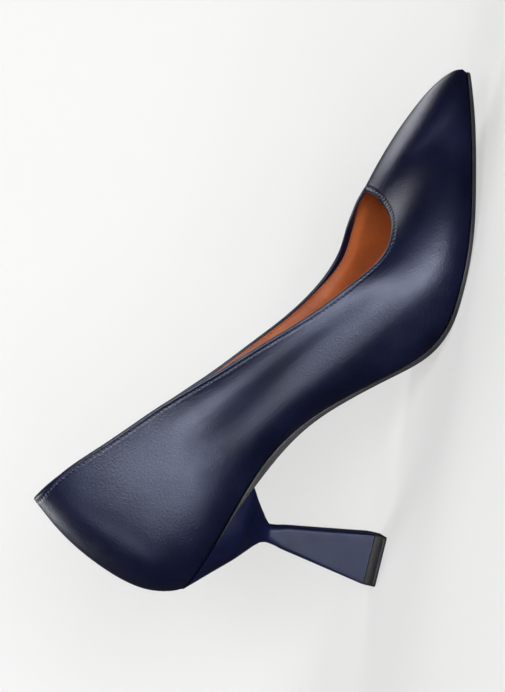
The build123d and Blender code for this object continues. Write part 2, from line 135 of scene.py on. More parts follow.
# Sections of the upper, from the back seam along the inner side, round the toe and back.
# Each row: where it leaves the sole (x, y), where it ends (x, y, z), the curve's two handles
# as shares of its chord (along, out), and how much its outward direction tips up.
STATIONS = [
    ((-29.5, -1.5), (-7.4, -1.5, 144.7), (0.14, 0.168), (0.53, 0.196), 0.0),
    ((-24.5, -13.0), (-3.0, -10.5, 142.6), (0.14, 0.16), (0.55, 0.17), 0.0),
    ((-11.0, -20.3), (7.0, -17.5, 136.8), (0.15, 0.15), (0.60, 0.11), 0.0),
    ((8.0, -21.9), (23.0, -23.2, 123.0), (0.18, 0.15), (0.62, 0.06), 0.0),
    ((28.0, -18.6), (41.0, -26.4, 106.9), (0.20, 0.20), (0.65, 0.03), 0.0),
    ((50.0, -15.6), (58.0, -28.2, 89.5), (0.20, 0.28), (0.62, 0.02), 0.0),
    ((72.0, -19.5), (76.0, -29.5, 72.0), (0.18, 0.27), (0.62, 0.04), 0.0),
    ((92.0, -29.3), (94.0, -31.0, 54.8), (0.18, 0.20), (0.62, 0.08), 0.0),
    ((110.0, -36.8), (109.0, -32.3, 43.0), (0.20, 0.18), (0.65, 0.12), 0.0),
    ((127.0, -38.2), (121.0, -31.6, 34.9), (0.20, 0.20), (0.65, 0.16), 0.0),
    ((146.0, -33.4), (130.5, -28.0, 32.9), (0.18, 0.22), (0.65, 0.20), 0.0),
    ((167.0, -22.8), (138.0, -20.8, 33.9), (0.12, 0.22), (0.62, 0.20), 0.2),
    ((186.0, -12.8), (143.6, -11.5, 37.5), (0.05, 0.20), (0.58, 0.17), 0.5),
    ((199.5, -6.8), (146.0, -5.5, 40.8), (0.00, 0.17), (0.57, 0.14), 1.2),
    ((204.3, -3.5), (146.5, -1.0, 42.4), (-0.055, 0.148), (0.57, 0.125), 0.0),
    ((199.0, 0.8), (146.0, 3.5, 42.6), (0.00, 0.17), (0.57, 0.14), 1.2),
    ((185.0, 8.0), (143.6, 9.0, 42.9), (0.05, 0.19), (0.58, 0.16), 0.6),
    ((165.0, 18.0), (138.5, 18.0, 42.5), (0.12, 0.21), (0.62, 0.18), 0.3),
    ((144.0, 28.0), (131.0, 26.5, 42.0), (0.18, 0.21), (0.65, 0.18), 0.1),
    ((124.0, 35.6), (121.0, 32.0, 41.8), (0.20, 0.19), (0.65, 0.16), 0.0),
    ((108.0, 37.3), (109.0, 34.0, 45.4), (0.20, 0.17), (0.65, 0.13), 0.0),
    ((92.0, 34.3), (94.0, 33.5, 54.0), (0.18, 0.18), (0.62, 0.10), 0.0),
    ((72.0, 27.8), (76.0, 31.5, 68.2), (0.18, 0.20), (0.62, 0.06), 0.0),
    ((50.0, 23.4), (58.0, 29.5, 83.4), (0.20, 0.22), (0.62, 0.03), 0.0),
    ((28.0, 22.9), (41.0, 27.0, 99.5), (0.20, 0.19), (0.65, 0.03), 0.0),
    ((8.0, 23.4), (23.0, 23.0, 116.3), (0.18, 0.15), (0.62, 0.06), 0.0),
    ((-11.0, 20.6), (7.0, 16.3, 132.2), (0.15, 0.15), (0.60, 0.11), 0.0),
    ((-24.5, 11.5), (-3.0, 8.5, 141.2), (0.14, 0.16), (0.55, 0.17), 0.0),
]
FEATHER_LINE = [
    (-34, 78.3), (-12, 71.8), (8, 66.2), (28, 59.0), (48, 46.8), (62, 33.6), (76, 18.4),
    (86, 9.0), (97, 3.6), (112, 2.5), (132, 3.2), (160, 6.0), (186, 9.8), (208, 15.0),
]
SOLE_LINE = [
    (-6, 69.9), (6, 66.0), (18.6, 60.6), (36, 51.8), (48, 43.7), (62, 30.5), (76, 15.2),
    (88, 4.3), (99, 0.5), (112, 0.0), (135, 0.9), (160, 3.5), (186, 7.2), (208, 12.9),
]
# Heel sections: height, back, front, half width, back corner radius, front corner radius.
HEEL_SECTIONS = [
    (5.3, -10.55, 10.55, 8.0, 0.8, 0.8),
    (34.0, -5.61, 6.35, 5.51, 1.6, 1.6),
    (41.0, -4.40, 5.33, 4.90, 1.8, 1.8),
    (44.5, -3.60, 4.70, 4.35, 2.6, 2.6),
    (47.5, -3.3, 4.4, 4.1, 3.2, 3.0),
    (49.5, -3.7, 5.9, 5.0, 3.8, 3.0),
    (52.0, -5.4, 8.7, 7.4, 5.4, 2.8),
    (56.0, -9.4, 13.4, 12.6, 10.0, 2.6),
    (61.0, -14.3, 19.6, 19.5, 16.0, 2.2),
    (68.0, -21.1, 26.0, 20.8, 18.5, 2.2),
    (80.0, -32.6, 38.0, 21.6, 19.5, 2.2),
]


# ---------------------------------------------------------------- curves
def cubic(knots, values, period=None):
    """A cubic spline through rows of values at rising knots, closed when it has a period."""
    knots = np.asarray(knots, float)
    values = np.asarray(values, float)
    if period is not None:
        knots = np.append(knots, knots[0] + period)
        values = np.vstack([values, values[:1]])
    count = len(knots)
    step = np.diff(knots)
    slope = np.diff(values, axis=0) / step[:, None]
    system = np.zeros((count, count))
    right = np.zeros_like(values)
    for i in range(1, count - 1):
        system[i, i - 1] = step[i - 1]
        system[i, i] = 2 * (step[i - 1] + step[i])
        system[i, i + 1] = step[i]
        right[i] = 6 * (slope[i] - slope[i - 1])
    if period is None:
        system[0, 0] = system[-1, -1] = 1
    else:
        system[0, 0], system[0, -1] = 1, -1
        system[-1, 0], system[-1, 1] = 2 * step[0], step[0]
        system[-1, -1], system[-1, -2] = 2 * step[-1], step[-1]
        right[-1] = 6 * (slope[0] - slope[-1])
    bend = np.linalg.solve(system, right)

    def at(where):
        where = np.asarray(where, float)
        if period is not None:
            where = knots[0] + (where - knots[0]) % period
        i = np.clip(np.searchsorted(knots, where, side="right") - 1, 0, count - 2)
        wide = step[i][:, None]
        far = ((knots[i + 1] - where) / step[i])[:, None]
        near = 1 - far
        curve = (far**3 - far) * bend[i] + (near**3 - near) * bend[i + 1]
        return far * values[i] + near * values[i + 1] + curve * wide * wide / 6

    return at


def chord_knots(points, closed=False):
    """Distances along a polyline, and its whole length round when it is closed."""
    points = np.asarray(points, float)
    steps = np.linalg.norm(np.diff(points, axis=0), axis=1)
    knots = np.concatenate([[0], np.cumsum(steps)])
    if closed:
        return knots, knots[-1] + np.linalg.norm(points[0] - points[-1])
    return knots


def side_line(points):
    """Heights along a side-view line, as a function of x."""
    knots = chord_knots(points)
    dense = cubic(knots, points)(np.linspace(0, knots[-1], LINE_SAMPLES))
    return lambda x: np.interp(x, dense[:, 0], dense[:, 1])


def steady(knots, values):
    """A curve through values that never swings past them."""
    knots = np.asarray(knots, float)
    values = np.asarray(values, float)
    step = np.diff(knots)
    slope = np.diff(values) / step
    lean = np.zeros(len(knots))
    lean[0], lean[-1] = slope[0], slope[-1]
    for i in range(1, len(knots) - 1):
        if slope[i - 1] * slope[i] > 0:
            first = 2 * step[i] + step[i - 1]
            second = step[i] + 2 * step[i - 1]
            lean[i] = (first + second) / (first / slope[i - 1] + second / slope[i])

    def at(where):
        i = np.clip(np.searchsorted(knots, where, side="right") - 1, 0, len(step) - 1)
        t = (where - knots[i]) / step[i]
        keep = (1 + 2 * t) * (1 - t) ** 2 * values[i] + t * t * (3 - 2 * t) * values[i + 1]
        return keep + step[i] * (t * (1 - t) ** 2 * lean[i] + t * t * (t - 1) * lean[i + 1])

    return at


feather_height = side_line(FEATHER_LINE)
sole_height = side_line(SOLE_LINE)


# ---------------------------------------------------------------- the wall of the upper
def unit(rows):
    """Vectors scaled to length one."""
    return rows / np.maximum(np.linalg.norm(rows, axis=-1, keepdims=True), 1e-12)


def wall_curves():
    """The wall's four control curves round the shoe, as functions of the place in the loop."""
    plan = np.array([row[0] for row in STATIONS])
    top = np.array([row[1] for row in STATIONS])
    foot = np.column_stack([plan, feather_height(plan[:, 0])])
    travel = np.roll(plan, -1, axis=0) - np.roll(plan, 1, axis=0)
    out = unit(np.column_stack([travel[:, 1], -travel[:, 0], np.zeros(len(plan))]))
    out[:, 2] += [row[4] for row in STATIONS]
    chord = top - foot
    length = np.linalg.norm(chord, axis=1, keepdims=True)
    along = chord / length
    across = unit(out - along * (out * along).sum(axis=1, keepdims=True))
    lower = np.array([row[2] for row in STATIONS])
    upper = np.array([row[3] for row in STATIONS])
    handles = [foot]
    for share in (lower, upper):
        handles.append(foot + (along * share[:, :1] + across * share[:, 1:]) * length)
    handles.append(top)
    low_knots, low_round = chord_knots(foot, closed=True)
    top_knots, top_round = chord_knots(top, closed=True)
    knots = (low_knots / low_round + top_knots / top_round) / 2
    return [cubic(knots, handle, period=1.0) for handle in handles]


CONTROLS = wall_curves()
places = np.arange(COLUMNS) / COLUMNS
corners = [control(places) for control in CONTROLS]


def wall_points(shares, curves):
    """Points of the wall: one row of shares for each column."""
    v = shares[:, :, None]
    weights = [(1 - v) ** 3, 3 * v * (1 - v) ** 2, 3 * v * v * (1 - v), v**3]
    return sum(weight * curve[:, None, :] for weight, curve in zip(weights, curves))


def rises(shares, curves):
    """The direction up the wall at each share."""
    v = shares[:, :, None]
    first, second, third = (curves[i + 1] - curves[i] for i in range(3))
    weights = [3 * (1 - v) ** 2, 6 * v * (1 - v), 3 * v * v]
    return sum(weight * run[:, None, :] for weight, run in zip(weights, (first, second, third)))


def wall_sheet(shares, depth):
    """Points at a depth under the wall's outer face, and the face's outward normals."""
    points = wall_points(shares, corners)
    ahead = [control(places + 0.5 / COLUMNS) for control in CONTROLS]
    behind = [control(places - 0.5 / COLUMNS) for control in CONTROLS]
    travel = wall_points(shares, ahead) - wall_points(shares, behind)
    normals = unit(np.cross(travel, rises(shares, corners)))
    return points - normals * depth[:, :, None], normals


# Shares of the wall's height that lie at given distances under the topline.
SAMPLES = 49
sample_shares = np.linspace(1, 0, SAMPLES)
sample_points = wall_points(np.tile(sample_shares, (COLUMNS, 1)), corners)
sample_steps = np.linalg.norm(np.diff(sample_points, axis=1), axis=2)
sample_drops = np.concatenate([np.zeros((COLUMNS, 1)), np.cumsum(sample_steps, axis=1)], axis=1)


def share_at(drops):
    """For each column, the shares at its row of distances under the topline."""
    rows = [np.interp(drops[i], sample_drops[i], sample_shares) for i in range(COLUMNS)]
    return np.array(rows)


top_x, top_y = corners[3][:, 0], corners[3][:, 1]


def ramp(value, low, high):
    """A smooth step from 0 at low to 1 at high."""
    t = np.clip((value - low) / (high - low), 0, 1)
    return t * t * (3 - 2 * t)


# The folded edge is wider inside the outer side near the throat.
fold_width = FOLD_WIDTH + FOLD_GAIN * ramp(top_x, *FOLD_X_SPAN) * ramp(top_y, *FOLD_Y_SPAN)

# Distance along the stitch line, to place the stitches and the dimples between them.
line_shares = share_at(np.full((COLUMNS, 1), STITCH_DROP))
line_points = wall_sheet(line_shares, np.zeros((COLUMNS, 1)))[0][:, 0]
line_steps = np.linalg.norm(np.roll(line_points, -1, axis=0) - line_points, axis=1)
line_travel = np.concatenate([[0], np.cumsum(line_steps)])
STITCHES = int(round(line_travel[-1] / STITCH_PITCH))
pitch = line_travel[-1] / STITCHES
phase = line_travel[:-1] / pitch


# ---------------------------------------------------------------- mesh helpers
def new_object(name, vertices, faces, paint):
    """A smooth-shaded mesh object from points in millimetres."""
    mesh = bpy.data.meshes.new(name)
    mesh.from_pydata((np.asarray(vertices) * MM).tolist(), [], faces)
    mesh.validate()
    mesh.polygons.foreach_set("use_smooth", [True] * len(mesh.polygons))
    mesh.materials.append(paint)
    mesh.update()
    thing = bpy.data.objects.new(name, mesh)
    bpy.context.scene.collection.objects.link(thing)
    return thing


def tube_faces(columns, rows, wrap_columns=True, wrap_rows=True):
    """Quads over a grid of vertices kept column by column."""
    faces = []
    for i in range(columns if wrap_columns else columns - 1):
        here, there = i * rows, ((i + 1) % columns) * rows
        for j in range(rows if wrap_rows else rows - 1):
            k = (j + 1) % rows
            faces.append((here + j, there + j, there + k, here + k))
    return faces


def sharpen(thing, degrees):
    """Keep edges crisp where faces meet at more than an angle."""
    thing.data.set_sharp_from_angle(angle=math.radians(degrees))


# ---------------------------------------------------------------- materials
def material(name):
    """A new material, its node tree and its shader."""
    made = bpy.data.materials.new(name)
    made.use_nodes = True
    tree = made.node_tree
    shader = tree.nodes["Principled BSDF"]
    return made, tree, shader


def add_node(tree, kind, **inputs):
    """A shader node with the named inputs set."""
    node = tree.nodes.new(kind)
    for key, value in inputs.items():
        node.inputs[key.replace("_", " ")].default_value = value
    return node


def colour_ramp(tree, source, stops):
    """Turn a value into colours, from stops of (place, colour)."""
    node = tree.nodes.new("ShaderNodeValToRGB")
    ramp_data = node.color_ramp
    while len(ramp_data.elements) < len(stops):
        ramp_data.elements.new(0.5)
    for element, (place, colour) in zip(ramp_data.elements, stops):
        element.position = place
        element.color = (*colour, 1)
    tree.links.new(source, node.inputs["Fac"])
    return node.outputs["Color"]


def grey(value):
    return (value, value, value)


def coordinates(tree, stretch=(1, 1, 1)):
    """Object coordinates in metres, stretched along the axes."""
    place = tree.nodes.new("ShaderNodeTexCoord")
    mapping = add_node(tree, "ShaderNodeMapping", Scale=stretch)
    tree.links.new(place.outputs["Object"], mapping.inputs["Vector"])
    return mapping.outputs["Vector"]


def noise(tree, vector, scale, detail=3.0, roughness=0.55):
    node = add_node(tree, "ShaderNodeTexNoise", Scale=scale, Detail=detail, Roughness=roughness)
    tree.links.new(vector, node.inputs["Vector"])
    return node.outputs["Fac"]


def cells(tree, vector, scale):
    node = add_node(tree, "ShaderNodeTexVoronoi", Scale=scale)
    tree.links.new(vector, node.inputs["Vector"])
    return node.outputs["Distance"]


def bump(tree, height, distance, strength=1.0, base=None):
    node = add_node(tree, "ShaderNodeBump", Strength=strength, Distance=distance)
    tree.links.new(height, node.inputs["Height"])
    if base is not None:
        tree.links.new(base, node.inputs["Normal"])
    return node.outputs["Normal"]


def vary_roughness(tree, shader, source, low, high, rough):
    """Let the gloss wander between two roughnesses."""
    stops = [(low, grey(rough[0])), (high, grey(rough[1]))]
    tree.links.new(colour_ramp(tree, source, stops), shader.inputs["Roughness"])


def leather(
    name, dark, base, light, grain, depth, rough, coat, pores, gloss, tint=(1, 1, 1),
):
    """Finished leather: pebbled grain, pores, slow creases, and colour that wanders a little."""
    made, tree, shader = material(name)
    vector = coordinates(tree)
    wander = noise(tree, vector, 38, 4)
    speckle = noise(tree, vector, 1500, 2)
    mixed = tree.nodes.new("ShaderNodeMath")
    mixed.operation = "MULTIPLY_ADD"
    mixed.inputs[1].default_value = 0.25
    tree.links.new(speckle, mixed.inputs[0])
    tree.links.new(wander, mixed.inputs[2])
    colour = colour_ramp(tree, mixed.outputs[0], [(0.42, dark), (0.62, base), (0.85, light)])
    tree.links.new(colour, shader.inputs["Base Color"])
    sheen = noise(tree, vector, 120, 4)
    vary_roughness(tree, shader, sheen, 0.3, 0.7, rough)
    slow = bump(tree, noise(tree, vector, 55, 3), 0.0005, 0.35)
    pebble = bump(tree, cells(tree, vector, grain), depth, 0.5, slow)
    fine = bump(tree, noise(tree, vector, grain * 2.6, 3), depth * 0.7, pores, pebble)
    tree.links.new(fine, shader.inputs["Normal"])
    shader.inputs["Specular IOR Level"].default_value = gloss
    shader.inputs["Specular Tint"].default_value = (*tint, 1)
    shader.inputs["Coat Weight"].default_value = coat
    shader.inputs["Coat Roughness"].default_value = 0.28
    return made


def thread(name, dark, light):
    """Twisted sewing thread."""
    made, tree, shader = material(name)
    vector = coordinates(tree)
    colour = colour_ramp(tree, noise(tree, vector, 2600, 2), [(0.35, dark), (0.7, light)])
    tree.links.new(colour, shader.inputs["Base Color"])
    fibre = bump(tree, noise(tree, vector, 6000, 2), 0.00004, 0.6)
    tree.links.new(fibre, shader.inputs["Normal"])
    shader.inputs["Roughness"].default_value = 0.55
    shader.inputs["Sheen Weight"].default_value = 0.3
    return made


def compound(name, dark, light, rough=(0.42, 0.6), scale=900, depth=0.00005, gloss=0.5):
    """Moulded or pressed stuff: fine stipple, scuffs and a wandering gloss."""
    made, tree, shader = material(name)
    vector = coordinates(tree)
    stain = noise(tree, vector, 60, 5)
    colour = colour_ramp(tree, stain, [(0.35, dark), (0.7, light)])
    tree.links.new(colour, shader.inputs["Base Color"])
    sheen = noise(tree, vector, 240, 4)
    vary_roughness(tree, shader, sheen, 0.3, 0.75, rough)
    stipple = bump(tree, noise(tree, vector, scale, 4), depth, 0.6)
    tree.links.new(stipple, shader.inputs["Normal"])
    shader.inputs["Specular IOR Level"].default_value = gloss
    return made


def steel(name, base):
    """Brushed metal with streaks along x."""
    made, tree, shader = material(name)
    vector = coordinates(tree, (0.15, 1, 1))
    streak = noise(tree, vector, 2500, 3)
    stops = [(0.3, [part * 0.7 for part in base]), (0.7, base)]
    tree.links.new(colour_ramp(tree, streak, stops), shader.inputs["Base Color"])
    tree.links.new(bump(tree, streak, 0.00003, 0.4), shader.inputs["Normal"])
    shader.inputs["Metallic"].default_value = 1.0
    shader.inputs["Roughness"].default_value = 0.32
    return made


def woven(name, dark, light, scale=1100):
    """Cloth with crossing threads."""
    made, tree, shader = material(name)
    vector = coordinates(tree)
    threads = []
    for direction in ("X", "Z"):
        wave = add_node(tree, "ShaderNodeTexWave", Scale=scale, Distortion=0.6)
        wave.bands_direction = direction
        tree.links.new(vector, wave.inputs["Vector"])
        threads.append(wave.outputs["Fac"])
    both = tree.nodes.new("ShaderNodeMath")
    both.operation = "MULTIPLY"
    for source, socket in zip(threads, both.inputs):
        tree.links.new(source, socket)
    colour = colour_ramp(tree, both.outputs[0], [(0.1, dark), (0.7, light)])
    tree.links.new(colour, shader.inputs["Base Color"])
    tree.links.new(bump(tree, both.outputs[0], 0.0001, 0.7), shader.inputs["Normal"])
    shader.inputs["Roughness"].default_value = 0.85
    return made


NAVY_TINT = (0.70, 0.76, 1.0)
navy = leather(
    "navy_calf", (0.0009, 0.0013, 0.0072), (0.0018, 0.0025, 0.0125), (0.0034, 0.0046, 0.0190),
    grain=1500, depth=0.00011, rough=(0.33, 0.41), coat=0.04, pores=0.25, gloss=0.42,
    tint=NAVY_TINT,
)
navy_heel = leather(
    "navy_heel_wrap", (0.0018, 0.0026, 0.0135), (0.0030, 0.0042, 0.0200), (0.0052, 0.0068, 0.0280),
    grain=2600, depth=0.00003, rough=(0.36, 0.44), coat=0.03, pores=0.3, gloss=0.24,
    tint=NAVY_TINT,
)
tan = leather(
    "tan_lining", (0.21, 0.046, 0.010), (0.29, 0.068, 0.016), (0.38, 0.105, 0.029),
    grain=1500, depth=0.00007, rough=(0.46, 0.62), coat=0.03, pores=0.7, gloss=0.35,
)
navy_thread = thread("navy_thread", (0.0025, 0.003, 0.009), (0.007, 0.009, 0.024))
brown_thread = thread("brown_thread", (0.035, 0.012, 0.006), (0.09, 0.03, 0.014))
nylon = woven("nylon_tape", (0.02, 0.02, 0.03), (0.06, 0.06, 0.08), scale=1600)
black_sole = compound(
    "black_sole", (0.012, 0.012, 0.014), (0.022, 0.022, 0.025), scale=1400, gloss=0.22,
)
black_tpu = compound(
    "black_tpu", (0.004, 0.004, 0.005), (0.008, 0.008, 0.009),
    rough=(0.5, 0.66), scale=1800, gloss=0.25,
)


# ---------------------------------------------------------------- upper leather
def tuck(x):
    """How far the leather reaches down over the top of the sole's edge."""
    return SOLE_TUCK * ramp(x, *TUCK_SPAN)


def swells(points, drops, length):
    """Slow swells aslant over the waist and softer ones over the counter, less the seam's groove."""
    x, y, z = points[:, :, 0], points[:, :, 1], points[:, :, 2]
    slant = WAVE_SLANT[0] * x + WAVE_SLANT[1] * z
    waist = ramp(x, *WAIST_START) * (1 - ramp(x, *WAIST_END))
    counter = 1 - ramp(x, *COUNTER_END)
    held = ramp(drops, *SWELL_DROPS) * (1 - ramp(drops / length, *SWELL_SHARES))
    swell = WAIST_SWELL * waist * np.sin(2 * math.pi * slant / WAVE_LENGTH + WAVE_PHASE)
    turn = 2 * math.pi * (z - COUNTER_SLANT * x) / COUNTER_WAVE + COUNTER_PHASE
    swell += COUNTER_SWELL * counter * np.sin(turn)
    seam = np.exp(-((y - SEAM_Y) / SEAM_HALF) ** 2) * (x < SEAM_END_X) * ramp(drops, *SEAM_TOP_SPAN)
    return swell * held - SEAM_DEPTH * seam


def stitch_dents(drop):
    """How deep the leather is pulled in at one drop, for every column."""
    dent_line = 0.5 - 0.5 * np.cos(2 * math.pi * phase)
    groove = math.exp(-((drop - STITCH_DROP) / GROOVE_HALF) ** 2)
    halo = math.exp(-((drop - STITCH_DROP) / HALO_HALF) ** 2)
    puff = sum(height * math.exp(-((drop - middle) / width) ** 2) for height, middle, width in PUFFS)
    holes = np.exp(-((phase - np.floor(phase) - 0.5) / HOLE_HALF) ** 2)
    thread_line = GROOVE_DEPTH * groove * (0.5 + 0.5 * dent_line)
    return thread_line + HOLE_DEPTH * groove * holes + HALO_DEPTH * halo * dent_line - puff


def build_upper():
    """The leather, from the feather edge up over the rolled topline and down inside."""
    drops, depths = [], []
    length = sample_drops[:, -1]
    for fraction in np.linspace(0, 1, BODY_ROWS, endpoint=False):
        drops.append(length + (FINE_DROP - length) * fraction)
        depths.append(np.zeros(COLUMNS))
    for drop in np.arange(FINE_DROP, TOP_ROLL, -FINE_STEP):
        drops.append(np.full(COLUMNS, drop))
        depths.append(stitch_dents(drop))
    for angle in np.linspace(0, math.pi, ROLL_ROWS):
        drops.append(np.full(COLUMNS, TOP_ROLL * (1 - math.sin(angle))))
        depths.append(np.full(COLUMNS, TOPLINE_THICKNESS / 2 * (1 - math.cos(angle))))
    for share in (0.35, 0.7, 1.0):
        drops.append(TOP_ROLL + (fold_width - TOP_ROLL + 0.4) * share)
        depths.append(np.full(COLUMNS, TOPLINE_THICKNESS))
    hem_drop = fold_width + 0.5
    for inset in (0.1, 0.35):
        drops.append(hem_drop)
        depths.append(np.full(COLUMNS, TOPLINE_THICKNESS - inset))
    for fraction in np.linspace(0.1, 1.0, INSIDE_ROWS):
        drops.append(hem_drop * (1 - fraction) + (length - 0.1) * fraction)
        depths.append(np.full(COLUMNS, LEATHER))
    drops, depths = np.column_stack(drops), np.column_stack(depths)
    shares = share_at(drops)
    plain, _ = wall_sheet(shares, depths)
    points, _ = wall_sheet(shares, depths - swells(plain, drops, length[:, None]))
    points[:, :, 2] -= tuck(points[:, :, 0]) * ramp(drops / length[:, None], *TUCK_SHARES)
    faces = tube_faces(COLUMNS, points.shape[1])
    thing = new_object("upper_skin", points.reshape(-1, 3), faces, navy)
    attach(thing, BODY)
    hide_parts("upper_leather")
    return thing


# ---------------------------------------------------------------- lining
def lining_depth(drop):
    """Depth of the lining's inner face, which nears the leather toward the topline."""
    return LINING_TOP + (WALL - LINING_TOP) * ramp(drop, *LINING_SPAN)


def build_lining(name, node, keep):
    """One side's lining: a thin sheet from under the folded edge down to the sock."""
    columns = np.nonzero(keep)[0]
    gap = np.nonzero(np.diff(columns) > 1)[0]
    if len(gap):
        columns = np.roll(columns, -(gap[0] + 1))
    length = sample_drops[:, -1]
    inner = np.concatenate([[0.0], np.linspace(0.02, 0.98, LINING_ROWS)])
    drops = [fold_width * 0.7 + (length - fold_width) * share for share in inner]
    depths = [lining_depth(drop) for drop in drops]
    back_drops = drops[::-4]
    back_depths = [np.maximum(lining_depth(drop) - LINING, LINING_BACK) for drop in back_drops]
    all_drops = np.column_stack([*drops, *back_drops])
    all_depths = np.column_stack([*depths, *back_depths])
    points, _ = wall_sheet(share_at(all_drops), all_depths)
    points = points[columns]
    rows = points.shape[1]
    faces = tube_faces(len(columns), rows, wrap_columns=False)
    faces.append(tuple(range(rows)))
    faces.append(tuple(reversed(range((len(columns) - 1) * rows, len(columns) * rows))))
    thing = new_object(name, points.reshape(-1, 3), faces, tan)
    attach(thing, BODY)
    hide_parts(node)
    return thing


def build_tape():
    """The thin tape that lies inside the folded topline."""
    outer, inner = TAPE_FACES
    steps = np.linspace(*TAPE_DROPS, TAPE_STEPS)
    drops = np.tile(np.concatenate([steps, steps[::-1]]), (COLUMNS, 1))
    depths = np.tile(np.repeat([outer, inner], TAPE_STEPS), (COLUMNS, 1))
    points, _ = wall_sheet(share_at(drops), depths)
    points = points[::TAPE_STRIDE]
    faces = tube_faces(len(points), points.shape[1])
    thing = new_object("edge_tape", points.reshape(-1, 3), faces, nylon)
    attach(thing, BODY)
    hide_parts("topline_tape")
    return thing


# ---------------------------------------------------------------- stitches
def build_stitches(name, node, drop, depth, facing, paint, radius):
    """A row of twisted thread stitches that dip into their holes at both ends."""
    shares = share_at(np.broadcast_to(drop, (COLUMNS,))[:, None].copy())
    points, normals = wall_sheet(shares, np.broadcast_to(depth, (COLUMNS,))[:, None].copy())
    points, normals = points[:, 0], normals[:, 0] * facing
    steps = np.linalg.norm(np.roll(points, -1, axis=0) - points, axis=1)
    travel = np.concatenate([[0], np.cumsum(steps)])
    closed = np.vstack([points, points[:1]])
    closed_normals = np.vstack([normals, normals[:1]])
    sides, rings = 10, 11
    vertices, faces = [], []
    for number in range(STITCHES):
        centre = (number + 1.0) * travel[-1] / STITCHES % travel[-1]
        if abs(number + 1.0 - STITCHES) < 0.5:
            centre = 0.0

        def place(rows, where):
            return np.array([np.interp(where % travel[-1], travel, rows[:, k]) for k in range(3)])

        middle = place(closed, centre)
        along = unit(place(closed, centre + 0.4) - place(closed, centre - 0.4))
        up = unit(place(closed_normals, centre))
        side = unit(np.cross(up, along))
        up = np.cross(along, side)
        base = len(vertices)
        half = STITCH_LENGTH / 2
        for ring in range(rings):
            t = 2 * ring / (rings - 1) - 1
            thick = radius * (1 - 0.55 * abs(t) ** 5)
            lift = 0.16 - 0.42 * abs(t) ** 3
            core = middle + along * (t * half) + up * lift
            for k in range(sides):
                angle = 2 * math.pi * k / sides
                ply = 1 + 0.13 * math.cos(2 * angle - 5.5 * t)
                spoke = side * math.cos(angle) + up * 0.82 * math.sin(angle)
                vertices.append(core + spoke * thick * ply)
        for ring in range(rings - 1):
            for k in range(sides):
                a, b = base + ring * sides + k, base + ring * sides + (k + 1) % sides
                faces.append((a, b, b + sides, a + sides))
        faces.append(tuple(base + k for k in reversed(range(sides))))
        faces.append(tuple(base + (rings - 1) * sides + k for k in range(sides)))
    thing = new_object(name, vertices, faces, paint)
    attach(thing, BODY)
    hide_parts(node)
    return thing


# ---------------------------------------------------------------- sole
def feather_run(where):
    """Points of the feather edge at given places in the loop, moved out in plan by the overhang."""
    gap = 0.5 / COLUMNS
    points = CONTROLS[0](where)
    travel = CONTROLS[0](where + gap) - CONTROLS[0](where - gap)
    out = unit(np.column_stack([travel[:, 1], -travel[:, 0]]))
    return points[:, :2] + out * SOLE_OVERHANG, out


def build_sole():
    """The outsole: a softened edge with a scored line, and a plain tread face."""
    along = corners[0][:, 0]
    tip = int(np.argmax(along))
    shares = np.linspace(0, 1, SOLE_STATIONS)
    stations = SOLE_START + (along[tip] - 0.01 - SOLE_START) * (1 - (1 - shares) ** 2)
    inner = np.interp(stations, along[:tip + 1], places[:tip + 1])
    outer = np.interp(stations, along[tip:][::-1], places[tip:][::-1])
    sides = []
    for where in (inner, outer):
        plan, out = feather_run(where)
        base = sole_height(plan[:, 0])
        top = feather_height(plan[:, 0]) - tuck(plan[:, 0]) - SOLE_GAP
        thick = np.maximum(top - base, LEAST_SOLE)
        profile = [
            (1.8, thick), (0.22, thick), (0.05, thick - 0.06), (0.0, thick * 0.9), (0.0, thick * 0.58),
            (0.10, thick * 0.54), (0.10, thick * 0.50), (0.0, thick * 0.46), (0.0, thick * 0.2),
            (0.10, thick * 0.05), (0.32, 0), (0.8, 0),
        ]
        rows = []
        for inset, level in profile:
            spot = plan - out * inset
            rows.append(np.column_stack([spot, base + level]))
        sides.append(rows)
    across = np.linspace(0, 1, 16)[1:-1]
    rings = list(sides[0])
    low_in, low_out = sides[0][-1], sides[1][-1]
    for share in across:
        row = low_in + (low_out - low_in) * share
        row[:, 2] = sole_height(row[:, 0])
        rings.append(row)
    rings += list(reversed(sides[1]))
    high_in, high_out = sides[0][0], sides[1][0]
    for share in across[::-2]:
        row = high_in + (high_out - high_in) * share
        top = feather_height(row[:, 0]) - tuck(row[:, 0]) - SOLE_GAP
        row[:, 2] = np.maximum(top, sole_height(row[:, 0]) + LEAST_SOLE)
        rings.append(row)
    points = np.stack(rings, axis=1)
    count, rows = points.shape[:2]
    faces = tube_faces(count, rows, wrap_columns=False)
    faces.append(tuple(range(rows)))
    faces.append(tuple(reversed(range((count - 1) * rows, count * rows))))
    faces = [tuple(reversed(face)) for face in faces]
    thing = new_object("sole_unit", points.reshape(-1, 3), faces, black_sole)
    sharpen(thing, 35)
    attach(thing, BODY)
    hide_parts("outsole")
    return thing


# ---------------------------------------------------------------- heel
def heel_outline(back, front, half, rear, fore, per_corner=10, per_flat=7):
    """Points round one heel section, corner by corner, with points along each flat between."""
    outline = []
    centres = [
        (front - fore, half - fore, fore, 0), (back + rear, half - rear, rear, 90),
        (back + rear, rear - half, rear, 180), (front - fore, fore - half, fore, 270),
    ]
    arcs = []
    for x, y, radius, start in centres:
        turn = np.radians(start + np.linspace(0, 90, per_corner))
        arcs.append(np.column_stack([x + radius * np.cos(turn), y + radius * np.sin(turn)]))
    for i, arc in enumerate(arcs):
        outline.append(arc)
        ahead = arcs[(i + 1) % 4][0]
        shares = np.linspace(0, 1, per_flat + 2)[1:-1, None]
        outline.append(arc[-1] + (ahead - arc[-1]) * shares)
    return np.vstack(outline)


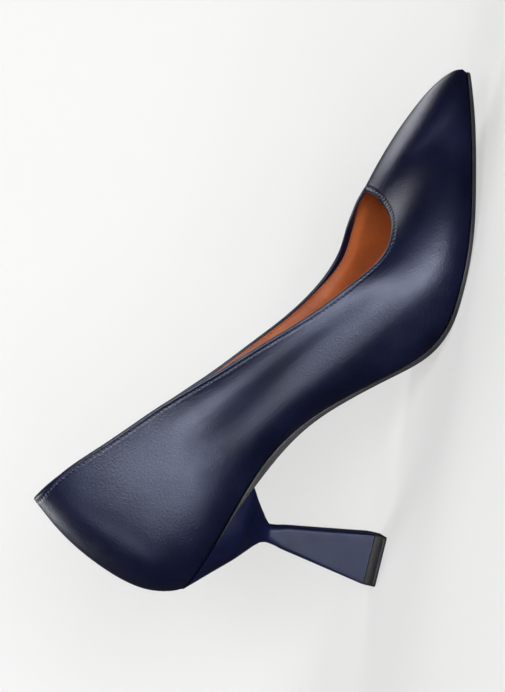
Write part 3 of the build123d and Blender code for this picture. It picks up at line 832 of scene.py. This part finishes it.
def build_heel():
    """The covered heel, smooth from its crisp square foot to the seat."""
    table = np.array(HEEL_SECTIONS)
    curves = [steady(table[:, 0], table[:, k]) for k in range(1, 6)]
    heights = np.linspace(HEEL_TIP[2], HEEL_TOP, HEEL_SAMPLES)
    stack = []
    for z in heights:
        values = [float(curve(np.array([z]))[0]) for curve in curves]
        outline = heel_outline(*values)
        stack.append(np.column_stack([outline, np.full(len(outline), z)]))
    stack = np.array(stack)
    count = stack.shape[1]
    limit = np.where(
        stack[:, :, 0] < SOLE_LINE[0][0],
        feather_height(stack[:, :, 0]) - HEEL_SEAT_GAP,
        sole_height(stack[:, :, 0]) - HEEL_BREAST_GAP,
    )
    over = stack[:, :, 2] - limit
    columns = []
    for k in range(count):
        above = np.nonzero(over[:, k] > 0)[0]
        last = above[0] if len(above) else len(heights) - 1
        gap, room = over[last, k], over[last, k] - over[last - 1, k]
        share = 1 - gap / room if room > 1e-9 else 1
        end = heights[last - 1] + (heights[last] - heights[last - 1]) * share
        wanted = np.linspace(heights[0], end, HEEL_ROWS)
        column = [np.interp(wanted, heights, stack[:, k, axis]) for axis in range(3)]
        columns.append(np.column_stack(column))
    columns = np.array(columns)
    foot = columns[:, :1]
    under = foot * [0.97, 0.96, 1]
    points = np.concatenate([under, foot + [0, 0, HEEL_FOOT_ROUND], columns[:, 1:]], axis=1)
    rows = points.shape[1]
    faces = tube_faces(count, rows, wrap_rows=False)
    faces.append(tuple(reversed([k * rows for k in range(count)])))
    faces.append(tuple(k * rows + rows - 1 for k in range(count)))
    thing = new_object("heel_wrap", points.reshape(-1, 3), faces, navy_heel)
    sharpen(thing, 50)
    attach(thing, BODY)
    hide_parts("heel_cover")
    return thing


def build_top_piece():
    """The replaceable tip, with a groove under the heel, a moulding line and softened edges."""
    length, width, height = HEEL_TIP
    profile = [
        (0.0, 1.2), (0.0, 0.35), (0.12, 0.12), (0.35, 0.0),
        (1.2, 0.0), (1.3, 0.07), (1.42, 0.07), (1.52, 0.0),
        (4.75, 0.0), (4.95, 0.1), (5.05, 0.3), (height, 0.3), (height, 1.2),
    ]
    rings = []
    for z, inset in profile:
        radius = max(TIP_CORNER + 0.2 - inset * 0.5, LEAST_TIP_CORNER)
        reach = length / 2 - inset
        outline = heel_outline(-reach, reach, width / 2 - inset, radius, radius, 8, 5)
        rings.append(np.column_stack([outline, np.full(len(outline), z)]))
    points = np.array(rings).transpose(1, 0, 2)
    count, rows = points.shape[:2]
    faces = tube_faces(count, rows, wrap_rows=False)
    faces.append(tuple(reversed([k * rows for k in range(count)])))
    faces.append(tuple(k * rows + rows - 1 for k in range(count)))
    thing = new_object("top_piece_tip", points.reshape(-1, 3), faces, black_tpu)
    sharpen(thing, 35)
    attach(thing, BODY)
    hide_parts("top_piece")
    return thing


build_upper()
build_tape()
build_lining("lining_back", "quarter_lining", top_x < LINING_JOIN)
build_lining("lining_front", "vamp_lining", top_x >= LINING_JOIN - LINING_LAP)
build_stitches(
    "outer_stitches", "topline_stitches", STITCH_DROP, STITCH_DEPTH, 1, navy_thread, STITCH_RADIUS,
)
inner_drop = np.maximum(fold_width + 1.0, LEAST_INNER_DROP)
inner_depth = lining_depth(inner_drop)
build_stitches(
    "inner_stitches", "lining_stitches", inner_drop, inner_depth, -1, brown_thread, INNER_STITCH_RADIUS,
)
build_sole()
build_heel()
build_top_piece()

# ---------------------------------------------------------------- finishes of the carried-over nodes
cloth = woven("interlining_cloth", (0.30, 0.28, 0.24), (0.62, 0.58, 0.5))
board = compound(
    "fibre_board", (0.22, 0.14, 0.07), (0.36, 0.25, 0.14),
    rough=(0.7, 0.85), scale=700, depth=0.0001,
)
foam = compound(
    "latex_foam", (0.55, 0.5, 0.38), (0.7, 0.66, 0.52),
    rough=(0.8, 0.95), scale=1600, depth=0.0002,
)
cork = compound(
    "cork_filler", (0.16, 0.08, 0.03), (0.42, 0.26, 0.13),
    rough=(0.75, 0.9), scale=500, depth=0.0002,
)
plastic = compound(
    "heel_abs", (0.03, 0.03, 0.035), (0.06, 0.06, 0.065),
    rough=(0.4, 0.5), scale=800,
)
stiffener = compound(
    "stiffener_sheet", (0.45, 0.40, 0.33), (0.62, 0.57, 0.48),
    rough=(0.6, 0.75), scale=900,
)
spring = steel("spring_steel", (0.42, 0.43, 0.45))

FINISHES = {
    "back_seam_tape": nylon,
    "heel_counter": stiffener,
    "toe_puff": stiffener,
    "inner_side_interlining": cloth,
    "outer_side_interlining": cloth,
    "sock_lining": tan,
    "foam_cushion": foam,
    "insole_board": board,
    "shank_board": board,
    "steel_shank": spring,
    "shank_rivets": spring,
    "bottom_filler": cork,
    "heel_block": plastic,
    "heel_rod": spring,
    "top_piece_pin": spring,
    "heel_screw": spring,
    "heel_nails": spring,
}
for node, finish in FINISHES.items():
    for entry in NODES[node].material_slots:
        entry.link = "OBJECT"
        entry.material = finish

# ---------------------------------------------------------------- floor, backdrop, lights, camera
# Sizes and places of the stage are in metres.
FLOOR_SIZE = 9.0
FLOOR_Z = -0.0003
BACKDROP_Y = 0.06
BACKDROP_HEIGHT = 1.5
ROOM_HEIGHT = 6.0
COVE_RADIUS = 0.12
COVE_LIFT = -0.0002
STAGE_GLOW = 0.53
WORLD_TINT = (0.93, 0.94, 0.96)
WORLD_STRENGTH = 0.03
CENTRE = (0.07, 0.0, 0.07)
# Lights: name, place, target, size, power
LIGHTS = [
    ("key", (0.08, -1.0, 0.62), CENTRE, (0.36, 0.36), 8),
    ("front_fill", (0.28, -1.1, 0.22), CENTRE, (0.5, 0.5), 8),
    ("low_strip", (0.1, -0.8, 0.05), (0.07, 0.0, 0.03), (0.7, 0.07), 3),
    ("toe_rim", (0.55, 0.5, 0.6), CENTRE, (0.3, 0.6), 3.5),
    ("back_fill", (-0.7, 0.7, 0.9), CENTRE, (0.6, 0.6), 8),
    ("heel_fill", (-0.75, -0.75, 0.45), CENTRE, (0.3, 0.6), 2.5),
]
CAMERA_TARGET = Vector((0.0738, 0.0, 0.0722))
CAMERA_DISTANCE = 1.0
CAMERA_RISE = math.radians(8)
CAMERA_ROLL = math.radians(13.8)
CAMERA_LENS = 126.8
CAMERA_SENSOR = 36
half = FLOOR_SIZE / 2


def pale(name, one_sided=False):
    """A pale surface that glows a little, clear from behind when it is one-sided."""
    made, tree, shader = material(name)
    vector = coordinates(tree)
    tint = colour_ramp(tree, noise(tree, vector, 3, 2), [(0.3, grey(0.25)), (0.7, grey(0.26))])
    tree.links.new(tint, shader.inputs["Base Color"])
    shader.inputs["Roughness"].default_value = 0.9
    shader.inputs["Specular IOR Level"].default_value = 0.1
    shader.inputs["Emission Color"].default_value = (1.0, 1.0, 0.99, 1)
    shader.inputs["Emission Strength"].default_value = STAGE_GLOW
    if one_sided:
        geometry = tree.nodes.new("ShaderNodeNewGeometry")
        clear = tree.nodes.new("ShaderNodeBsdfTransparent")
        blend = tree.nodes.new("ShaderNodeMixShader")
        output = tree.nodes["Material Output"]
        tree.links.new(geometry.outputs["Backfacing"], blend.inputs["Fac"])
        tree.links.new(shader.outputs["BSDF"], blend.inputs[1])
        tree.links.new(clear.outputs["BSDF"], blend.inputs[2])
        tree.links.new(blend.outputs["Shader"], output.inputs["Surface"])
    return made


def stage_piece(name, points, faces, paint):
    """A mesh that belongs to the stage, from points in metres."""
    mesh = bpy.data.meshes.new(name)
    mesh.from_pydata(points, [], faces)
    mesh.materials.append(paint)
    thing = bpy.data.objects.new(name, mesh)
    bpy.context.scene.collection.objects.link(thing)
    return thing


def plane(name, points, paint):
    return stage_piece(name, points, [(0, 1, 2, 3)], paint)


def cove(name, paint):
    """A backdrop that curves up out of the floor just behind the shoe."""
    profile = []
    for turn in np.linspace(0, math.pi / 2, 25):
        y = BACKDROP_Y + COVE_RADIUS * math.sin(turn)
        profile.append((y, COVE_RADIUS * (1 - math.cos(turn)) + COVE_LIFT))
    profile.append((BACKDROP_Y + COVE_RADIUS, BACKDROP_HEIGHT))
    rows = [[(x, y, z) for y, z in profile] for x in (-half, half)]
    count = len(profile)
    faces = [(j, count + j, count + j + 1, j + 1) for j in range(count - 1)]
    thing = stage_piece(name, rows[0] + rows[1], faces, paint)
    thing.data.polygons.foreach_set("use_smooth", [True] * len(faces))
    return thing


floor_corners = [(-1, -1), (1, -1), (1, 1), (-1, 1)]
ground = plane("floor", [(x * half, y * half, FLOOR_Z) for x, y in floor_corners], pale("pale_floor"))
ground.visible_glossy = False
room = [cove("backdrop", pale("pale_backdrop", one_sided=True))]
far_paint = pale("pale_walls")
wall_ends = [((-1, -1), (-1, 1)), ((-1, 1), (1, 1)), ((1, 1), (1, -1)), ((1, -1), (-1, -1))]
for number, ends in enumerate(wall_ends):
    low = [(x * half, y * half, FLOOR_Z) for x, y in ends]
    high = [(x, y, ROOM_HEIGHT) for x, y, _ in reversed(low)]
    room.append(plane(f"far_wall_{number}", low + high, far_paint))
for side in room:
    side.visible_diffuse = False
    side.visible_glossy = False
    side.visible_transmission = False
    side.visible_shadow = False

world = bpy.data.worlds.new("studio")
world.use_nodes = True
world.node_tree.nodes["Background"].inputs["Color"].default_value = (*WORLD_TINT, 1)
world.node_tree.nodes["Background"].inputs["Strength"].default_value = WORLD_STRENGTH
bpy.context.scene.world = world


def area_light(name, place, target, size, power):
    """A rectangular light aimed at a target."""
    data = bpy.data.lights.new(name, "AREA")
    data.shape = "RECTANGLE"
    data.size, data.size_y = size
    data.energy = power
    lamp = bpy.data.objects.new(name, data)
    lamp.location = place
    aim = Vector(target) - Vector(place)
    lamp.rotation_euler = aim.to_track_quat("-Z", "Y").to_euler()
    bpy.context.scene.collection.objects.link(lamp)


for light in LIGHTS:
    area_light(*light)

back = Vector((0, -math.cos(CAMERA_RISE), math.sin(CAMERA_RISE)))
level = Vector((1, 0, 0))
upright = Vector((0, math.sin(CAMERA_RISE), math.cos(CAMERA_RISE)))
right = math.sin(CAMERA_ROLL) * level - math.cos(CAMERA_ROLL) * upright
up = math.cos(CAMERA_ROLL) * level + math.sin(CAMERA_ROLL) * upright
camera_data = bpy.data.cameras.new("camera")
camera_data.lens = CAMERA_LENS
camera_data.sensor_width = CAMERA_SENSOR
camera_data.sensor_fit = "AUTO"
camera = bpy.data.objects.new("camera", camera_data)
place = CAMERA_TARGET + back * CAMERA_DISTANCE
camera.matrix_world = Matrix((
    (right.x, up.x, back.x, place.x),
    (right.y, up.y, back.y, place.y),
    (right.z, up.z, back.z, place.z),
    (0, 0, 0, 1),
))
bpy.context.scene.collection.objects.link(camera)
bpy.context.scene.camera = camera
bpy.context.scene.view_settings.view_transform = "Standard"
